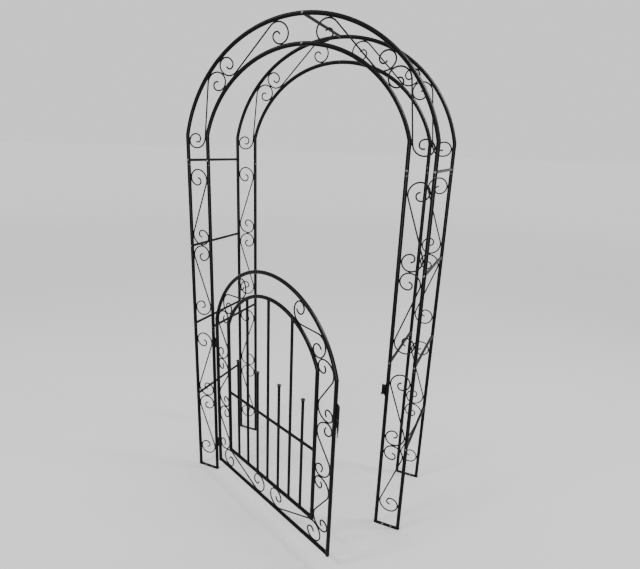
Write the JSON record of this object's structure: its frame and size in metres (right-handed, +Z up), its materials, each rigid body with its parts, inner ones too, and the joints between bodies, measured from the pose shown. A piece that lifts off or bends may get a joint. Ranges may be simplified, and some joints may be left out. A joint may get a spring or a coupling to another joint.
{
  "type": "garden arch with gate",
  "caption": "Round topped garden arch of bent steel tube with scrollwork, side rungs and a hinged picket gate with a drop-in latch rod.",
  "frame": {"origin": "on the ground in the middle of the four feet", "axes": "+X across the passage to the latch side, +Y through the passage away from the gate, +Z up"},
  "size_m": [1.1676, 0.8131, 2.2648],
  "materials": {
    "black_paint": "semi-gloss powder coat",
    "zinc_screws": "dark zinc plate",
    "hinge_steel": "dark oiled steel",
    "grey_hook": "dull zinc plate"
  },
  "bodies": {
    "arch": {"front_left_outer_lower_leg": "black_paint", "front_left_inner_lower_leg": "black_paint", "front_left_outer_upper_leg": "black_paint", "front_left_inner_upper_leg": "black_paint", "front_left_outer_arch": "black_paint", "front_left_inner_arch": "black_paint", "front_left_scrolls": "black_paint", "front_right_outer_lower_leg": "black_paint", "front_right_inner_lower_leg": "black_paint", "front_right_outer_upper_leg": "black_paint", "front_right_inner_upper_leg": "black_paint", "front_right_outer_arch": "black_paint", "front_right_inner_arch": "black_paint", "front_right_scrolls": "black_paint", "front_feet": "black_paint", "front_screws": "zinc_screws", "back_left_outer_lower_leg": "black_paint", "back_left_inner_lower_leg": "black_paint", "back_left_outer_upper_leg": "black_paint", "back_left_inner_upper_leg": "black_paint", "back_left_outer_arch": "black_paint", "back_left_inner_arch": "black_paint", "back_left_scrolls": "black_paint", "back_right_outer_lower_leg": "black_paint", "back_right_inner_lower_leg": "black_paint", "back_right_outer_upper_leg": "black_paint", "back_right_inner_upper_leg": "black_paint", "back_right_outer_arch": "black_paint", "back_right_inner_arch": "black_paint", "back_right_scrolls": "black_paint", "back_feet": "black_paint", "back_screws": "zinc_screws", "left_outer_rungs": "black_paint", "right_outer_rungs": "black_paint", "inner_rungs": "black_paint", "crown_rung": "black_paint", "leg_knuckles": "black_paint", "hinge_pins": "hinge_steel", "latch_keeper": "black_paint"},
    "gate": {"gate_hinge_stile": "black_paint", "gate_latch_stile": "black_paint", "gate_outer_arc": "black_paint", "gate_inner_left_stile": "black_paint", "gate_inner_right_stile": "black_paint", "gate_inner_arc": "black_paint", "gate_bottom_rail": "black_paint", "gate_inner_rail": "black_paint", "gate_mid_rail": "black_paint", "long_pickets": "black_paint", "short_pickets": "black_paint", "picket_caps": "black_paint", "gate_stile_scrolls": "black_paint", "gate_arch_scrolls": "black_paint", "gate_rail_scrolls": "black_paint", "gate_knuckles": "black_paint", "latch_rod": "black_paint", "latch_plate": "black_paint"},
    "latch_chain": {"latch_chain": "black_paint"},
    "latch_hook": {"latch_hook": "grey_hook"}
  },
  "joints": [
    {"name": "gate_hinge", "type": "hinge", "parent": "arch", "child": "gate", "pos_m": [-0.45, -0.215, 0.4755], "axis": [0, 0, -1], "range_deg": [-24.2, 75.8]},
    {"name": "chain_swing", "type": "hinge", "parent": "gate", "child": "latch_chain", "pos_m": [0.36694, -0.58215, 0.69], "axis": [0.9121, -0.4099, 0], "range_deg": [-80, 80]},
    {"name": "hook_swing", "type": "hinge", "parent": "latch_chain", "child": "latch_hook", "pos_m": [0.36694, -0.58215, 0.6667], "axis": [0.9121, -0.4099, 0], "range_deg": [-60, 60]}
  ]
}
